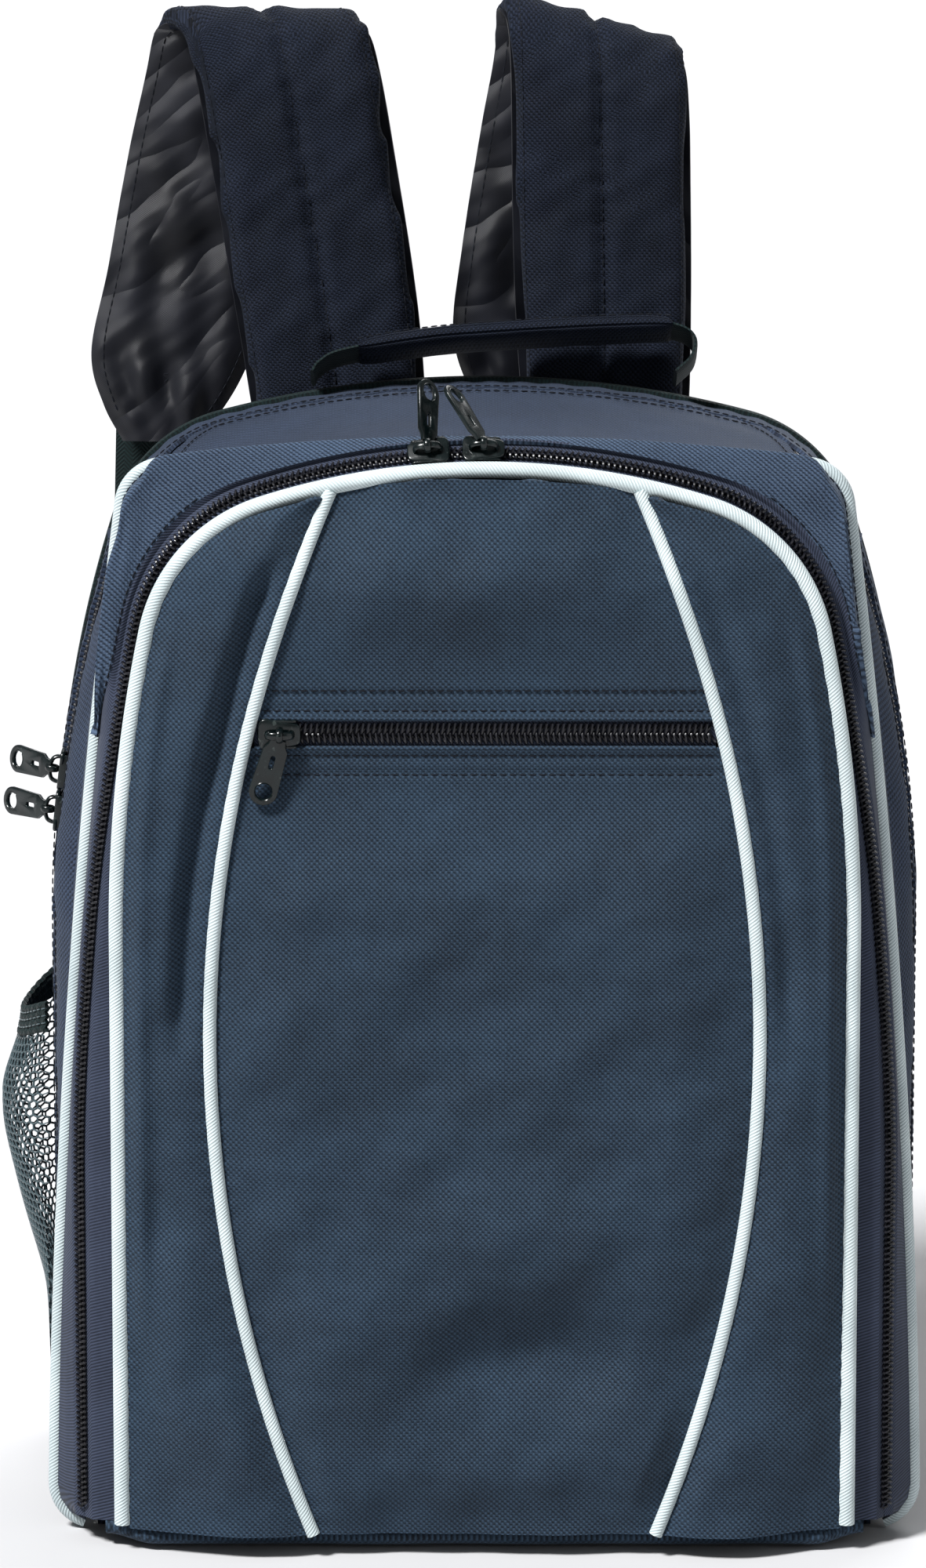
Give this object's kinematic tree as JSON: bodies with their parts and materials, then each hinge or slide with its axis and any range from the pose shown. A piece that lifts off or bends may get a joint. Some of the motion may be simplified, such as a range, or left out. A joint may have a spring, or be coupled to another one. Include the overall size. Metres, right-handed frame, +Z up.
{
  "type": "backpack",
  "caption": "School backpack with a domed top, zipped front flap, small front pocket, side net pocket, carry handle and padded shoulder straps.",
  "frame": {"origin": "on the flat underside of the base, midway between the sides of the body", "axes": "+Z up, the front with the flap and pocket faces -Y, the shoulder straps lie on the +Y side, +X to the wearer's right"},
  "size_m": [0.3203, 0.2211, 0.5172],
  "materials": {
    "body_cloth": "woven, slightly sheened",
    "lining_cloth": "smooth, coated",
    "padding": "padded, woven",
    "piping": "twisted cord",
    "zip_tape": "twill tape",
    "webbing": "herringbone webbing",
    "net": "knitted net",
    "zip_teeth": "moulded coil",
    "zip_metal": "satin enamel",
    "board": "matt",
    "buckle": "matt"
  },
  "bodies": {
    "bag_body": {"rear_gusset": "body_cloth", "main_zip_tape_rear": "zip_tape", "main_zip_teeth_rear": "zip_teeth", "back_binding": "webbing", "back_panel": "padding", "back_foam": "padding", "back_lining": "lining_cloth", "base_panel": "body_cloth", "base_board": "board", "mesh_pocket": "net", "pocket_hem": "webbing", "strap_yoke": "body_cloth", "upper_webbing_left": "webbing", "upper_webbing_right": "webbing", "ladder_lock_left": "buckle", "ladder_lock_right": "buckle", "lower_webbing_left": "webbing", "lower_webbing_right": "webbing", "webbing_anchor_left": "body_cloth", "webbing_anchor_right": "body_cloth"},
    "front_section": {"front_gusset": "body_cloth", "main_zip_tape_front": "zip_tape", "main_zip_teeth_front": "zip_teeth", "front_base": "body_cloth", "u_zip_teeth_outer": "zip_teeth", "u_zip_tape_outer": "zip_tape", "front_surround": "body_cloth", "side_piping": "piping", "divider_panel": "lining_cloth"},
    "front_flap": {"u_zip_teeth_inner": "zip_teeth", "u_zip_tape_inner": "zip_tape", "flap_side_panel_left": "body_cloth", "flap_side_panel_right": "body_cloth", "flap_upper_panel": "body_cloth", "pocket_front_panel": "body_cloth", "arch_piping": "piping", "inner_piping_left": "piping", "inner_piping_right": "piping", "pocket_zip_tape": "zip_tape", "pocket_zip_teeth": "zip_teeth", "flap_lining": "lining_cloth"},
    "u_zip_slider_left": {"u_zip_slider_left": "zip_metal"},
    "u_zip_puller_left": {"u_zip_puller_left": "zip_metal"},
    "u_zip_slider_right": {"u_zip_slider_right": "zip_metal"},
    "u_zip_puller_right": {"u_zip_puller_right": "zip_metal"},
    "pocket_zip_slider": {"pocket_zip_slider": "zip_metal"},
    "pocket_zip_puller": {"pocket_zip_puller": "zip_metal"},
    "main_zip_slider_upper": {"main_zip_slider_upper": "zip_metal"},
    "main_zip_puller_upper": {"main_zip_puller_upper": "zip_metal"},
    "main_zip_slider_lower": {"main_zip_slider_lower": "zip_metal"},
    "main_zip_puller_lower": {"main_zip_puller_lower": "zip_metal"},
    "carry_handle": {"handle_webbing": "webbing", "handle_grip": "body_cloth"},
    "strap_left": {"strap_pad_left": "padding", "strap_lining_left": "lining_cloth"},
    "strap_right": {"strap_pad_right": "padding", "strap_lining_right": "lining_cloth"}
  },
  "joints": [
    {"name": "front_section_hinge", "type": "hinge", "parent": "bag_body", "child": "front_section", "pos_m": [0, -0.08, 0.002], "axis": [-1, 0, 0], "range_deg": [-30, 0]},
    {"name": "front_flap_hinge", "type": "hinge", "parent": "front_section", "child": "front_flap", "pos_m": [0, -0.082, 0.005], "axis": [1, 0, 0], "range_deg": [0, 80]},
    {"name": "u_slider_left_path", "type": "hinge", "parent": "front_flap", "child": "u_zip_slider_left", "pos_m": [0, -0.066, 0.131], "axis": [0, 1, 0], "range_deg": [-12.5, 0]},
    {"name": "u_slider_right_path", "type": "hinge", "parent": "front_flap", "child": "u_zip_slider_right", "pos_m": [0, -0.066, 0.131], "axis": [0, 1, 0], "range_deg": [0, 15]},
    {"name": "u_puller_left_swing", "type": "hinge", "parent": "u_zip_slider_left", "child": "u_zip_puller_left", "pos_m": [-0.01905, -0.06975, 0.37852], "axis": [0.9971, 0, 0.0767], "range_deg": [0, 135]},
    {"name": "u_puller_right_swing", "type": "hinge", "parent": "u_zip_slider_right", "child": "u_zip_puller_right", "pos_m": [-0.00043, -0.06975, 0.37925], "axis": [1, 0, 0.0017], "range_deg": [0, 135]},
    {"name": "pocket_slider_path", "type": "slide", "parent": "front_flap", "child": "pocket_zip_slider", "axis": [1, 0, 0], "range_m": [0, 0.136]},
    {"name": "pocket_puller_swing", "type": "hinge", "parent": "pocket_zip_slider", "child": "pocket_zip_puller", "pos_m": [-0.068, -0.0869, 0.284], "axis": [-1, 0, 0], "range_deg": [0, 100]},
    {"name": "main_slider_upper_path", "type": "hinge", "parent": "front_section", "child": "main_zip_slider_upper", "pos_m": [0.27999, -0.007, 0.20089], "axis": [0, 1, 0], "range_deg": [0, 8]},
    {"name": "main_slider_lower_path", "type": "hinge", "parent": "front_section", "child": "main_zip_slider_lower", "pos_m": [0.27999, -0.007, 0.20089], "axis": [0, 1, 0], "range_deg": [-5, 0]},
    {"name": "main_puller_upper_swing", "type": "hinge", "parent": "main_zip_slider_upper", "child": "main_zip_puller_upper", "pos_m": [-0.148, -0.007, 0.258], "axis": [0.1323, 0, 0.9912], "range_deg": [-20, 115]},
    {"name": "main_puller_lower_swing", "type": "hinge", "parent": "main_zip_slider_lower", "child": "main_zip_puller_lower", "pos_m": [-0.14966, -0.007, 0.24378], "axis": [-0.0993, 0, -0.9951], "range_deg": [-115, 20]},
    {"name": "handle_lean", "type": "hinge", "parent": "bag_body", "child": "carry_handle", "pos_m": [0, 0.074, 0.38], "axis": [1, 0, 0], "range_deg": [0, 60]},
    {"name": "strap_left_lean", "type": "hinge", "parent": "bag_body", "child": "strap_left", "pos_m": [-0.05, 0.0935, 0.352], "axis": [1, 0, 0], "range_deg": [-35, 0], "deforming": ["upper_webbing_left"]},
    {"name": "strap_right_lean", "type": "hinge", "parent": "bag_body", "child": "strap_right", "pos_m": [0.043, 0.0935, 0.344], "axis": [1, 0, 0], "range_deg": [-35, 0], "deforming": ["upper_webbing_right"]}
  ]
}
